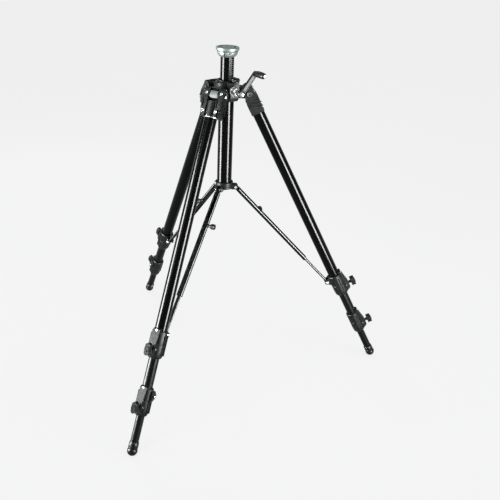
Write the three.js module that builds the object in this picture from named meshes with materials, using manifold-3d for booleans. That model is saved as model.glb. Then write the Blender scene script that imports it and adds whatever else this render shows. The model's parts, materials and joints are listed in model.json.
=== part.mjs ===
// Studio tripod with a geared centre column, three telescopic legs and a mid-level brace.
// Millimetres, +Z up. The origin is on the floor, under the middle of the footprint.
import * as THREE from 'three';
import { mergeVertices } from 'three/addons/utils/BufferGeometryUtils.js';
import Module from 'manifold-3d';

const wasm = await Module();
wasm.setup();

// ---- driving dimensions ----
const GAP = 0.3;                 // clearance between neighbouring pieces
const LEG_ANGLE = 27.3;          // degrees from the vertical, as it stands
const LEG_AZIMUTHS = { right: 0, rear: 120, front: 240 };
const HINGE_RADIUS = 53;         // leg hinge, from the column's axis
const LEG_LENGTH = 856;          // hinge to the middle of the foot ball
const FOOT_RADIUS = 12.5;
const TUBE_RADII = { upper: 15, middle: 12.5, lower: 10 };
const TUBE_WALL = 1.6;

// Stations along a leg, measured down from its hinge.
const UPPER_TUBE_TOP = 30;
const UPPER_CLAMP = { top: 563, bottom: 629 };
const LOWER_CLAMP = { top: 702, bottom: 769 };
const MIDDLE_TUBE_TOP = 112;
const LOWER_TUBE_TOP = 190;
const CLAMP_SEAT = 46;           // how far a clamp holds the tube above it
const CLAMP_KNOB_DROP = 43;      // from a clamp's top to its knob
const CLAMP_RIB_HALF = 9;
const CLAMP_REACH = { upper: 28, lower: 25.5 };
const KNOB_STUD_RADIUS = 3;
const KNOB_STEM = 6;

// Fork casting at the top of a leg.
const FORK_HALF_WIDTH = 25;
const FORK_HALF_DEPTH = 16.5;
const FORK_TOP = 17;
const FORK_BOTTOM = -53;
const LUG_HALF_WIDTH = 12;
const LUG_RADIUS = 13.5;
const HINGE_BOLT_RADIUS = 4;
const HINGE_BOLT_HEAD = { radius: 6.5, height: 3.2 };
const ROOF = 2.3;                // thickness of the bar across the fork's top

// Column, body and head.
const COLUMN_RADIUS = 16.2;
const COLUMN_WALL = 5;
const COLUMN_SLIP = 0.4;         // between the column and the guide tube
const COLUMN_BOTTOM = 546;
const GUIDE_RADIUS = 18.6;
const BODY = { bottom: 756, top: 800, radius: 27 };
const HUB = { bottom: 528, top: 546, radius: 22.5 };
const PLATE = { top: 877, radius: 27.8, rim: 7.5, neck: 855, neckRadius: 18.4 };
const PLATE_SOCKET_DEPTH = 8.4;
const GRUB_HOLE = { radius: 2.6, azimuth: -75 };
const STUD_RADIUS = 4.7;
const HUB_EAR = { inner: 3.8, outer: 7.6, radius: 6.5, pinReach: 9.2 };

// Gear train: rack and pinion, driven through a worm and worm wheel.
const DRIVE_AZIMUTH = -60;       // the drive faces out between the right and front legs
const GEAR_MODULE = 1.5;
const RACK = { width: 9, teeth: 58, back: 12, tip: 15.6 };
const PINION_TEETH = 14;
const PINION_FACE = [-1.4, 3.8]; // along its shaft, from the middle of the rack
const WHEEL_MODULE = 1;
const WHEEL_TEETH = 16;
const WORM_STARTS = 2;
const DRIVE_HEIGHT = 782;        // height of the crank's axis
const WORM_RADIUS = 5;           // pitch radius
const SHAFT_RADIUS = 4;          // crank shaft
const PINION_SHAFT_RADIUS = 2.5;
const HOUSING = { inner: 39.3, outer: 56, radius: 12 };
const DRIVE_BOSS = { reach: 39, sides: [-13.6, 10], rounding: 13.9 };
const DRIVE_OFFSET = -6;         // sideways, from the rack's middle to the worm wheel
const WHEEL_HALF_FACE = 3.1;

// Crank.
const CRANK = { length: 58, angle: 40, plane: 66 };
const GRIP = { length: 30, radius: 7 };
const CRANK_PIN_RADIUS = 2.6;

// Brace between the hub and the upper clamps.
const BRACE = { hubRadius: 29, hubHeight: 531, station: 575, inset: 26 };
const CHANNEL = { start: 9, end: 288, width: 12, depth: 10, wall: 1.5 };
const ROD = { start: 78, halfWidth: 4, halfDepth: 2.8 };
const CLAMP_EAR = { inner: 4.8, outer: 9.5, radius: 7 };
const TONGUE = { halfWidth: 3.4, end: 20 };
const BRACE_KNOB = { station: 99, stem: 10 };
const PIN_RADIUS = 2.5;
const PIN_HEAD = { radius: 4.2, height: 2 };

const LOCK = { azimuth: 60, height: 786 };
const FRICTION_KNOB_PLACE = [33, 4, 0]; // beside the column, over the gears

// ---- worked out from the driving dimensions ----
const radians = THREE.MathUtils.degToRad;
const HINGE_HEIGHT = LEG_LENGTH * Math.cos(radians(LEG_ANGLE)) + FOOT_RADIUS;
const FOOT_SPREAD = HINGE_RADIUS + LEG_LENGTH * Math.sin(radians(LEG_ANGLE));
const RACK_PITCH = Math.PI * GEAR_MODULE;
const WHEEL_RADIUS = (WHEEL_TEETH * WHEEL_MODULE) / 2;
const PINION_RADIUS = (PINION_TEETH * GEAR_MODULE) / 2;
const pinionPlace = {
  radial: RACK.tip - GEAR_MODULE + PINION_RADIUS + 0.4,
  height: DRIVE_HEIGHT - WORM_RADIUS - WHEEL_RADIUS - 1.3,
};
// A gap of the rack faces the pinion's inward tooth.
const teethBelowPinion = 43;
const rackSpan = {
  bottom: pinionPlace.height - teethBelowPinion * RACK_PITCH,
  top: pinionPlace.height + (RACK.teeth - teethBelowPinion) * RACK_PITCH,
};

// ---- finishes ----
const finish = (color, roughness, metalness) => ({ color, roughness, metalness });
const FINISHES = {
  blackTube: finish(0x0b0d0d, 0.25, 0.6),
  greyTube: finish(0x1a1e1f, 0.45, 0.6),
  casting: finish(0x2a3030, 0.55, 0.3),
  plastic: finish(0x141616, 0.45, 0.0),
  rubber: finish(0x0c0c0c, 0.85, 0.0),
  silver: finish(0xa4aca9, 0.35, 0.9),
  steel: finish(0x8f9496, 0.35, 1.0),
  brass: finish(0x9a7b3c, 0.35, 1.0),
};

// ---- solids ----
function signedVolume(geometry) {
  const { position } = geometry.attributes;
  const index = geometry.index.array;
  const [a, b, c] = [new THREE.Vector3(), new THREE.Vector3(), new THREE.Vector3()];
  let volume = 0;
  for (let i = 0; i < index.length; i += 3) {
    a.fromBufferAttribute(position, index[i]);
    b.fromBufferAttribute(position, index[i + 1]);
    c.fromBufferAttribute(position, index[i + 2]);
    volume += a.dot(b.cross(c)) / 6;
  }
  return volume;
}

function welded(geometry) {
  const bare = geometry.clone();
  bare.deleteAttribute('normal');
  bare.deleteAttribute('uv');
  const merged = mergeVertices(bare, 1e-4);
  const index = Array.from(merged.index.array);
  const kept = [];
  for (let i = 0; i < index.length; i += 3) {
    const [a, b, c] = index.slice(i, i + 3);
    if (a !== b && b !== c && a !== c) kept.push(a, b, c);
  }
  merged.setIndex(kept);
  if (signedVolume(merged) < 0) {
    for (let i = 0; i < kept.length; i += 3) [kept[i], kept[i + 1]] = [kept[i + 1], kept[i]];
    merged.setIndex(kept);
  }
  return merged;
}

function solid(geometry) {
  const merged = welded(geometry);
  return new wasm.Manifold(new wasm.Mesh({
    numProp: 3,
    vertProperties: new Float32Array(merged.attributes.position.array),
    triVerts: new Uint32Array(merged.index.array),
  }));
}

const join = (first, ...rest) => rest.reduce((whole, piece) => whole.add(piece), first);
const cut = (first, ...rest) => rest.reduce((whole, piece) => whole.subtract(piece), first);

// A turned solid about Z from its closed outline of [radius, z] points.
function turned(outline, segments = 20) {
  const points = outline.map(([r, z]) => new THREE.Vector2(r, z));
  points.push(points[0].clone());
  return solid(new THREE.LatheGeometry(points, segments).rotateX(Math.PI / 2));
}

function disc(radius, bottom, top, segments = 20) {
  return turned([[0, bottom], [radius, bottom], [radius, top], [0, top]], segments);
}

function tube(outer, inner, bottom, top, segments = 20) {
  return turned([[inner, bottom], [outer, bottom], [outer, top], [inner, top]], segments);
}

function block([x0, x1], [y0, y1], [z0, z1]) {
  const geometry = new THREE.BoxGeometry(x1 - x0, y1 - y0, z1 - z0);
  return solid(geometry.translate((x0 + x1) / 2, (y0 + y1) / 2, (z0 + z1) / 2));
}

// A plate with the given outline in XY, from one height to another.
function plate(shape, bottom, top, curveSegments = 3) {
  const geometry = new THREE.ExtrudeGeometry(shape, {
    depth: top - bottom, bevelEnabled: false, curveSegments,
  });
  return solid(geometry.translate(0, 0, bottom));
}

const roll = (piece, x, y, z) => piece.rotate([x, y, z]);
const alongX = (piece) => roll(piece, 0, 90, 0);
const alongY = (piece) => roll(piece, -90, 0, 0);

// ---- scene graph helpers ----
const tripod = new THREE.Group();
tripod.position.set(-FOOT_SPREAD / 4, 0, 0);

function add(parent, name, piece, look) {
  const { vertProperties, triVerts } = piece.getMesh();
  const geometry = new THREE.BufferGeometry();
  geometry.setAttribute('position', new THREE.BufferAttribute(new Float32Array(vertProperties), 3));
  geometry.setIndex(new THREE.BufferAttribute(new Uint32Array(triVerts), 1));
  geometry.computeVertexNormals();
  const mesh = new THREE.Mesh(geometry, new THREE.MeshStandardMaterial(look));
  mesh.name = name;
  parent.add(mesh);
}

function turnedGroup(parent, azimuth) {
  const group = new THREE.Group();
  group.rotation.z = radians(azimuth);
  parent.add(group);
  return group;
}

// ---- leg pieces, in a frame with the hinge at the origin and the leg down -Z, outward +X ----
function legFork() {
  const side = new THREE.Shape();
  side.moveTo(-FORK_HALF_DEPTH, FORK_BOTTOM);
  side.lineTo(FORK_HALF_DEPTH, FORK_BOTTOM);
  side.lineTo(FORK_HALF_DEPTH, -18);
  side.lineTo(13, 4);
  side.absarc(6, FORK_TOP - 7, 7, 0, Math.PI / 2);
  side.lineTo(-4, FORK_TOP);
  side.lineTo(-11, 9);
  side.lineTo(-13, -4);
  side.lineTo(-FORK_HALF_DEPTH, -24);
  side.closePath();
  const body = roll(plate(side, -FORK_HALF_WIDTH, FORK_HALF_WIDTH), 90, 0, 0);
  const slot = block([-40, 40], [-LUG_HALF_WIDTH - GAP, LUG_HALF_WIDTH + GAP], [-15, 40]);
  const roof = block([4, 10], [-LUG_HALF_WIDTH - 2, LUG_HALF_WIDTH + 2],
    [FORK_TOP - ROOF - GAP, FORK_TOP - GAP]);
  const socket = disc(TUBE_RADII.upper + GAP, -100, -UPPER_TUBE_TOP + GAP);
  const clampSlit = block([-40, 0], [-1.2, 1.2], [-80, -36]);
  const waist = [-1, 1].map((side) => block([-40, 40],
    [side > 0 ? FORK_HALF_WIDTH - 4 : -FORK_HALF_WIDTH - 4,
      side > 0 ? FORK_HALF_WIDTH + 4 : -FORK_HALF_WIDTH + 4], [-80, -30]));
  const boltHole = alongY(disc(HINGE_BOLT_RADIUS + GAP, -40, 40, 12));
  return cut(join(cut(body, slot), roof), socket, clampSlit, ...waist, boltHole);
}

function hingeBolt() {
  const headInner = FORK_HALF_WIDTH + GAP;
  const { radius, height } = HINGE_BOLT_HEAD;
  const head = headInner + height;
  return alongY(turned([
    [0, -head], [radius, -head], [radius, -headInner], [HINGE_BOLT_RADIUS, -headInner],
    [HINGE_BOLT_RADIUS, headInner], [radius, headInner], [radius, head], [0, head],
  ], 12));
}

function legTube(radius, top, bottom) {
  return tube(radius, radius - TUBE_WALL, -bottom, -top);
}

// A straight rib with an outline in XZ.
function ribAcross(outline, halfWidth) {
  const shape = new THREE.Shape(outline.map(([x, z]) => new THREE.Vector2(x, z)));
  return roll(plate(shape, -halfWidth, halfWidth), 90, 0, 0);
}

// A clamp casting: it holds the end of the wider tube and grips the thinner one below it.
function legClamp({ top, bottom }, reach, wide, narrow) {
  const seat = top + CLAMP_SEAT;
  const outer = wide + 4.2;
  const shell = turned([
    [narrow - 2, -bottom], [narrow + 4, -bottom], [outer - 1, -(bottom - 5)],
    [outer, -(seat + 4)], [outer, -(top + 2)],
    [outer - 1.5, -top], [narrow - 2, -top],
  ]);
  const knobZ = -(top + CLAMP_KNOB_DROP);
  const rib = ribAcross([
    [0, -(top - 5)], [wide + 3, -(top - 5)], [wide + 5, -(top - 2)], [reach - 1, knobZ + 10],
    [reach, knobZ + 6], [reach, knobZ - 8], [reach - 3, knobZ - 14], [narrow + 2, -(bottom - 3)],
    [0, -(bottom - 3)],
  ], CLAMP_RIB_HALF);
  const wideBore = disc(wide + GAP, -seat, 10 - top);
  const narrowBore = disc(narrow + GAP, -(bottom + 10), -seat + 1);
  const slit = block([0, reach + 10], [-1, 1], [-(bottom + 5), -(seat + 6)]);
  const studHole = alongX(disc(KNOB_STUD_RADIUS + GAP, wide, reach + 1, 8)).translate([0, 0, knobZ]);
  return cut(join(shell, rib), wideBore, narrowBore, slit, studHole);
}

function braceEars() {
  const at = -BRACE.station;
  const { inner, outer, radius } = CLAMP_EAR;
  const ears = [[inner, outer], [-outer, -inner]].map(([y0, y1]) => join(
    block([-BRACE.inset, -TUBE_RADII.upper - 2], [y0, y1], [at - radius, at + radius]),
    alongY(disc(radius, y0, y1, 12)).translate([-BRACE.inset, 0, at]),
  ));
  const hole = alongY(disc(PIN_RADIUS + GAP, -20, 20, 8)).translate([-BRACE.inset, 0, at]);
  return { ears, hole };
}

function upperClamp() {
  const { ears, hole } = braceEars();
  const clamp = legClamp(UPPER_CLAMP, CLAMP_REACH.upper, TUBE_RADII.upper, TUBE_RADII.middle);
  return cut(join(clamp, ...ears), hole);
}

function lowerClamp() {
  return legClamp(LOWER_CLAMP, CLAMP_REACH.lower, TUBE_RADII.middle, TUBE_RADII.lower);
}

// A wing knob turning about X: a stud, a round stem, then two wings that lie along Z at rest.
function wingKnob(span, studLength, stem = 2) {
  const face = stem + 13;
  const hub = alongX(turned([
    [0, 0], [4.5, 0], [4.5, stem], [7.5, stem], [7, face - 3], [5, face - 1], [0, face - 1],
  ], 14));
  const wings = block([stem, face], [-3.2, 3.2], [-span / 2 + 2, span / 2 - 2]);
  const tips = [-1, 1].map((side) => (
    alongX(disc(4.2, stem, face, 10)).translate([0, 0, side * (span / 2 - 4.2)])
  ));
  const stud = alongX(disc(KNOB_STUD_RADIUS, -studLength, 1, 8));
  return join(hub, wings, ...tips, stud);
}

function foot() {
  const profile = [];
  const arcSteps = 6;
  const startAngle = radians(-90);
  const endAngle = radians(20);
  for (let i = 0; i <= arcSteps; i += 1) {
    const angle = startAngle + ((endAngle - startAngle) * i) / arcSteps;
    profile.push([i === 0 ? 0 : FOOT_RADIUS * Math.cos(angle), FOOT_RADIUS * Math.sin(angle)]);
  }
  profile.push([11.6, 6], [11.6, 20], [0, 20]);
  const socket = disc(TUBE_RADII.lower + GAP, 8, 30);
  return cut(turned(profile, 18), socket).translate([0, 0, -LEG_LENGTH]);
}

function bracePin() {
  const reach = CLAMP_EAR.outer + GAP;
  const { radius, height } = PIN_HEAD;
  return alongY(turned([
    [0, -reach - height], [radius, -reach - height], [radius, -reach], [PIN_RADIUS, -reach],
    [PIN_RADIUS, reach], [radius, reach], [radius, reach + height], [0, reach + height],
  ], 10)).translate([-BRACE.inset, 0, -BRACE.station]);
}

// ---- brace pieces, in a frame with the hub pivot at the origin and the arm along +X ----
const braceEnd = (() => {
  const sin = Math.sin(radians(LEG_ANGLE));
  const cos = Math.cos(radians(LEG_ANGLE));
  const out = HINGE_RADIUS + BRACE.station * sin - BRACE.inset * cos - BRACE.hubRadius;
  const down = BRACE.hubHeight - (HINGE_HEIGHT - BRACE.station * cos - BRACE.inset * sin);
  return { length: Math.hypot(out, down), dip: Math.atan2(down, out) };
})();

function braceChannel() {
  const half = CHANNEL.width / 2;
  const deep = CHANNEL.depth / 2;
  const bar = block([CHANNEL.start, CHANNEL.end], [-half, half], [-deep, deep]);
  const trough = block([CHANNEL.start + 11, CHANNEL.end + 5], [-half + CHANNEL.wall, half - CHANNEL.wall],
    [-deep + CHANNEL.wall, deep + 5]);
  const tongue = join(
    block([0, TONGUE.end], [-TONGUE.halfWidth, TONGUE.halfWidth], [-deep, deep]),
    alongY(disc(deep, -TONGUE.halfWidth, TONGUE.halfWidth, 12)),
  );
  const eye = alongY(disc(PIN_RADIUS + GAP, -20, 20, 8));
  const lockHole = alongY(disc(PIN_RADIUS + GAP, half - 3, half + 3, 8))
    .translate([BRACE_KNOB.station, 0, 0]);
  return cut(join(cut(bar, trough), tongue), eye, lockHole);
}

function braceRod() {
  const { length } = braceEnd;
  const bar = block([ROD.start, length], [-ROD.halfWidth, ROD.halfWidth], [-ROD.halfDepth, ROD.halfDepth]);
  const head = alongY(disc(4.6, -ROD.halfWidth, ROD.halfWidth, 12)).translate([length, 0, 0]);
  const eye = alongY(disc(PIN_RADIUS + GAP, -20, 20, 8)).translate([length, 0, 0]);
  return cut(join(bar, head), eye);
}

function braceKnob() {
  const seat = CHANNEL.width / 2 + GAP;
  const { station, stem } = BRACE_KNOB;
  const knob = join(
    turned([[0, 0], [3.5, 0], [3.5, stem], [6, stem], [5, stem + 9], [0, stem + 9]], 12),
    block([-11, 11], [-2.6, 2.6], [stem, stem + 10]),
    disc(PIN_RADIUS, -2, 1, 8),
  );
  return alongY(knob).translate([station, seat, 0]);
}

// ---- body, hub and guide ----
function bodyCasting() {
  const { bottom, top, radius } = BODY;
  const barrel = turned([
    [0, bottom], [radius - 5, bottom], [radius, bottom + 8], [radius, top - 4], [radius - 3, top], [0, top],
  ], 24);
  const lugs = Object.values(LEG_AZIMUTHS).map((azimuth) => {
    const arm = join(
      block([10, HINGE_RADIUS], [-LUG_HALF_WIDTH, LUG_HALF_WIDTH],
        [HINGE_HEIGHT - LUG_RADIUS, HINGE_HEIGHT + LUG_RADIUS]),
      alongY(disc(LUG_RADIUS, -LUG_HALF_WIDTH, LUG_HALF_WIDTH, 16))
        .translate([HINGE_RADIUS, 0, HINGE_HEIGHT]),
    );
    const hole = alongY(disc(HINGE_BOLT_RADIUS + GAP, -40, 40, 12))
      .translate([HINGE_RADIUS, 0, HINGE_HEIGHT]);
    return roll(cut(arm, hole), 0, 0, azimuth);
  });
  const { reach, sides, rounding } = DRIVE_BOSS;
  const { radial, height } = pinionPlace;
  const driveBoss = roll(join(
    block([10, reach], sides, [height, top]),
    alongY(disc(rounding, sides[0], sides[1], 24)).translate([radial, 0, height]),
  ), 0, 0, DRIVE_AZIMUTH);
  const bore = disc(GUIDE_RADIUS + GAP, bottom - 5, top + 5);
  return cut(join(barrel, ...lugs, driveBoss), bore, ...driveCavities(), lockHole());
}

// Room for the pinion, the worm wheel and the worm inside the body.
function driveCavities() {
  const { radial, height } = pinionPlace;
  const gears = alongY(disc(PINION_RADIUS + 2.2, DRIVE_OFFSET - 3.8, PINION_FACE[1] + 0.6, 20))
    .translate([radial, 0, height]);
  const shaft = alongY(disc(PINION_SHAFT_RADIUS + GAP, -30, 30, 10)).translate([radial, 0, height]);
  const worm = alongX(disc(WORM_RADIUS + 1.4, 10, 60, 16)).translate([0, DRIVE_OFFSET, DRIVE_HEIGHT]);
  return [gears, shaft, worm].map((piece) => roll(piece, 0, 0, DRIVE_AZIMUTH));
}

function lockHole() {
  const hole = alongX(disc(KNOB_STUD_RADIUS + GAP, 0, 60, 8));
  return roll(hole.translate([0, 0, LOCK.height]), 0, 0, LOCK.azimuth);
}

function guideTube() {
  const wall = tube(GUIDE_RADIUS, COLUMN_RADIUS + COLUMN_SLIP, HUB.bottom, BODY.top - 2);
  const { radial, height } = pinionPlace;
  const window = block([5, radial + 6], [DRIVE_OFFSET - 7, 5], [height - 13, DRIVE_HEIGHT + 7]);
  return cut(wall, roll(window, 0, 0, DRIVE_AZIMUTH), lockHole());
}

function braceHub() {
  const { bottom, top, radius } = HUB;
  const ring = turned([
    [GUIDE_RADIUS + GAP, bottom], [radius - 1.5, bottom], [radius, bottom + 1.5],
    [radius, top - 1.5], [radius - 1.5, top], [GUIDE_RADIUS + GAP, top],
  ]);
  const { hubRadius, hubHeight } = BRACE;
  const ear = HUB_EAR;
  const across = (size, y0, y1, segments) => (
    alongY(disc(size, y0, y1, segments)).translate([hubRadius, 0, hubHeight])
  );
  const pieces = Object.values(LEG_AZIMUTHS).map((azimuth) => {
    const ears = [[ear.inner, ear.outer], [-ear.outer, -ear.inner]].map(([y0, y1]) => join(
      block([GUIDE_RADIUS + 2, hubRadius], [y0, y1], [hubHeight - ear.radius, hubHeight + ear.radius]),
      across(ear.radius, y0, y1, 12),
    ));
    const pin = across(PIN_RADIUS, -ear.pinReach, ear.pinReach, 8);
    return roll(join(...ears, pin), 0, 0, azimuth);
  });
  const room = Object.values(LEG_AZIMUTHS).map((azimuth) => (
    roll(across(ear.radius + 0.5, -ear.inner, ear.inner, 12), 0, 0, azimuth)
  ));
  return join(cut(ring, ...room), ...pieces);
}

// ---- column and head ----
function column() {
  const top = PLATE.neck + PLATE_SOCKET_DEPTH - 0.4;
  const wall = tube(COLUMN_RADIUS, COLUMN_RADIUS - COLUMN_WALL, COLUMN_BOTTOM, top);
  const groove = block([RACK.back - GAP, 20], [-RACK.width / 2 - GAP, RACK.width / 2 + GAP],
    [rackSpan.bottom - GAP, rackSpan.top + GAP]);
  return cut(wall, roll(groove, 0, 0, DRIVE_AZIMUTH));
}

function rack() {
  const root = RACK.tip - 1.9 * GEAR_MODULE;
  const shape = new THREE.Shape();
  shape.moveTo(RACK.back, rackSpan.bottom);
  shape.lineTo(root, rackSpan.bottom);
  for (let i = 0; i < RACK.teeth; i += 1) {
    const z = rackSpan.bottom + RACK_PITCH * (i + 0.5);
    shape.lineTo(root, z - 0.33 * RACK_PITCH);
    shape.lineTo(RACK.tip, z - 0.12 * RACK_PITCH);
    shape.lineTo(RACK.tip, z + 0.12 * RACK_PITCH);
    shape.lineTo(root, z + 0.33 * RACK_PITCH);
  }
  shape.lineTo(root, rackSpan.top);
  shape.lineTo(RACK.back, rackSpan.top);
  const bar = roll(plate(shape, -RACK.width / 2, RACK.width / 2), 90, 0, 0);
  return roll(bar, 0, 0, DRIVE_AZIMUTH);
}

function columnCap() {
  const capRadius = COLUMN_RADIUS - COLUMN_WALL - GAP;
  return turned([
    [0, COLUMN_BOTTOM - 3], [COLUMN_RADIUS - 1.5, COLUMN_BOTTOM - 3], [COLUMN_RADIUS, COLUMN_BOTTOM - 1.5],
    [COLUMN_RADIUS, COLUMN_BOTTOM - GAP], [capRadius, COLUMN_BOTTOM - GAP],
    [capRadius, COLUMN_BOTTOM + 9], [0, COLUMN_BOTTOM + 9],
  ]);
}

function topPlate() {
  const { top, radius, rim, neck, neckRadius } = PLATE;
  const casting = turned([
    [0, neck], [neckRadius, neck], [radius - 6.3, neck + 3], [radius - 3.3, top - rim - 5],
    [radius - 2.6, top - rim], [radius - 1, top - rim],
    [radius, top - rim + 1.5], [radius, top - 1.2], [radius - 1.2, top], [0, top],
  ], 28);
  const socket = disc(COLUMN_RADIUS + GAP, neck - 2, neck + PLATE_SOCKET_DEPTH);
  const studHole = disc(STUD_RADIUS + GAP, neck, top + 2, 12);
  const grubHole = roll(
    alongX(disc(GRUB_HOLE.radius, COLUMN_RADIUS - 1, 40, 8)).translate([0, 0, neck + 9]),
    0, 0, GRUB_HOLE.azimuth,
  );
  return cut(casting, socket, studHole, grubHole);
}

// The stud's head sits in the column's mouth and its thread stands flush in the plate.
function cameraStud() {
  const bottom = PLATE.neck + PLATE_SOCKET_DEPTH + GAP;
  return disc(STUD_RADIUS, bottom, PLATE.top - 0.4, 12);
}

// ---- gear train ----
function gearOutline(teeth, module) {
  const pitchRadius = (teeth * module) / 2;
  const root = pitchRadius - 1.2 * module;
  const tip = pitchRadius + 0.9 * module;
  const step = (2 * Math.PI) / teeth;
  const shape = new THREE.Shape();
  const at = (radius, angle) => [radius * Math.cos(angle), radius * Math.sin(angle)];
  for (let i = 0; i < teeth; i += 1) {
    const middle = i * step;
    const corners = [[root, -0.31], [tip, -0.1], [tip, 0.1], [root, 0.31]];
    corners.forEach(([radius, part], j) => {
      const point = at(radius, middle + part * step);
      if (i === 0 && j === 0) shape.moveTo(...point);
      else shape.lineTo(...point);
    });
  }
  return shape;
}

function pinionShaft() {
  const { radial, height } = pinionPlace;
  const pinion = plate(gearOutline(PINION_TEETH, GEAR_MODULE), ...PINION_FACE);
  const wheelFace = [DRIVE_OFFSET - WHEEL_HALF_FACE, DRIVE_OFFSET + WHEEL_HALF_FACE];
  const wheel = plate(gearOutline(WHEEL_TEETH, WHEEL_MODULE), ...wheelFace);
  const shaft = disc(PINION_SHAFT_RADIUS, wheelFace[0] - 3.8, PINION_FACE[1] + 5.6, 10);
  const spacer = disc(4, wheelFace[1] - 0.2, PINION_FACE[0] + 0.2, 10);
  const train = alongY(join(pinion, wheel, shaft, spacer));
  return roll(train.translate([radial, 0, height]), 0, 0, DRIVE_AZIMUTH);
}

class Helix extends THREE.Curve {
  constructor(radius, pitch, turns) {
    super();
    Object.assign(this, { radius, pitch, turns });
  }

  getPoint(t, target = new THREE.Vector3()) {
    const angle = 2 * Math.PI * this.turns * t;
    return target.set(this.radius * Math.cos(angle), this.radius * Math.sin(angle),
      this.pitch * this.turns * (t - 0.5));
  }
}

function wormShaft() {
  const lead = Math.PI * WHEEL_MODULE * WORM_STARTS;
  const turns = 1.5;
  const path = new Helix(WORM_RADIUS - 0.6, lead, turns);
  const section = new THREE.Shape();
  const corners = [[0.8, 0], [0, 0.8], [-0.8, 0], [0, -0.8]];
  section.setFromPoints(corners.map(([x, y]) => new THREE.Vector2(x, y)));
  const thread = solid(new THREE.ExtrudeGeometry(section, {
    steps: 21, extrudePath: path, bevelEnabled: false,
  }));
  const threads = Array.from({ length: WORM_STARTS }, (_, i) => (
    roll(thread, 0, 0, (360 * i) / WORM_STARTS)
  ));
  const core = disc(SHAFT_RADIUS, -6.1, 44, 16);
  const worm = alongX(join(core, ...threads)).translate([pinionPlace.radial, DRIVE_OFFSET, DRIVE_HEIGHT]);
  return roll(worm, 0, 0, DRIVE_AZIMUTH);
}

function gearHousing() {
  const { inner, outer, radius } = HOUSING;
  const ring = alongX(turned([
    [SHAFT_RADIUS + GAP, inner], [radius, inner], [radius, outer - 4], [radius - 2.5, outer],
    [SHAFT_RADIUS + GAP, outer],
  ], 20)).translate([0, DRIVE_OFFSET, DRIVE_HEIGHT]);
  return roll(ring, 0, 0, DRIVE_AZIMUTH);
}

function crankArm() {
  const { length, plane } = CRANK;
  const boss = alongX(turned([
    [SHAFT_RADIUS + GAP, 0], [9, 0], [9, 7], [7.5, 10], [0, 10], [0, 6.5],
    [SHAFT_RADIUS + GAP, 6.5],
  ], 16));
  const bar = block([3, 9], [-5.5, 5.5], [0, length]);
  const end = alongX(disc(5.5, 3, 9, 12)).translate([0, 0, length]);
  const bore = alongX(disc(SHAFT_RADIUS + GAP, -1, 6.5, 20));
  const pin = alongX(disc(CRANK_PIN_RADIUS, 8, 11 + GRIP.length, 10)).translate([0, 0, length]);
  const arm = join(cut(join(boss, bar, end), bore), pin);
  return placeCrank(roll(arm, -CRANK.angle, 0, 0), plane);
}

const placeCrank = (piece, plane) => roll(
  piece.translate([plane, DRIVE_OFFSET, DRIVE_HEIGHT]), 0, 0, DRIVE_AZIMUTH,
);

function crankGrip() {
  const { length, radius } = GRIP;
  const start = 9 + GAP;
  const handle = alongX(turned([
    [CRANK_PIN_RADIUS + GAP, start], [radius - 1.5, start], [radius, start + 2],
    [radius + 0.6, start + length / 2],
    [radius, start + length - 2], [radius - 1.5, start + length + 3], [0, start + length + 3],
    [0, start + length + 2], [CRANK_PIN_RADIUS + GAP, start + length + 2],
  ], 16)).translate([0, 0, CRANK.length]);
  return placeCrank(roll(handle, -CRANK.angle, 0, 0), CRANK.plane);
}

// ---- knobs on the body ----
function columnLockKnob() {
  const knob = join(wingKnob(28, 9.4, 3), alongX(disc(9, 0, 6, 14)));
  return roll(knob.translate([BODY.radius + GAP, 0, LOCK.height]), 0, 0, LOCK.azimuth);
}

function frictionKnob() {
  const start = BODY.top + GAP;
  const knob = turned([[0, start], [9, start], [9.5, start + 2], [9.5, start + 8], [8, start + 10],
    [0, start + 10]], 16);
  return roll(knob.translate(FRICTION_KNOB_PLACE), 0, 0, DRIVE_AZIMUTH);
}

// ---- assembly ----
const frame = turnedGroup(tripod, 0);
add(frame, 'body', bodyCasting(), FINISHES.casting);
add(frame, 'guide_tube', guideTube(), FINISHES.blackTube);
add(frame, 'brace_hub', braceHub(), FINISHES.casting);
add(frame, 'gear_housing', gearHousing(), FINISHES.silver);
add(frame, 'column', column(), FINISHES.blackTube);
add(frame, 'rack', rack(), FINISHES.greyTube);
add(frame, 'column_cap', columnCap(), FINISHES.plastic);
add(frame, 'top_plate', topPlate(), FINISHES.silver);
add(frame, 'camera_stud', cameraStud(), FINISHES.steel);
add(frame, 'pinion_shaft', pinionShaft(), FINISHES.brass);
add(frame, 'worm_shaft', wormShaft(), FINISHES.steel);
add(frame, 'crank_arm', crankArm(), FINISHES.casting);
add(frame, 'crank_grip', crankGrip(), FINISHES.plastic);
add(frame, 'column_lock_knob', columnLockKnob(), FINISHES.plastic);
add(frame, 'friction_knob', frictionKnob(), FINISHES.plastic);

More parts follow.
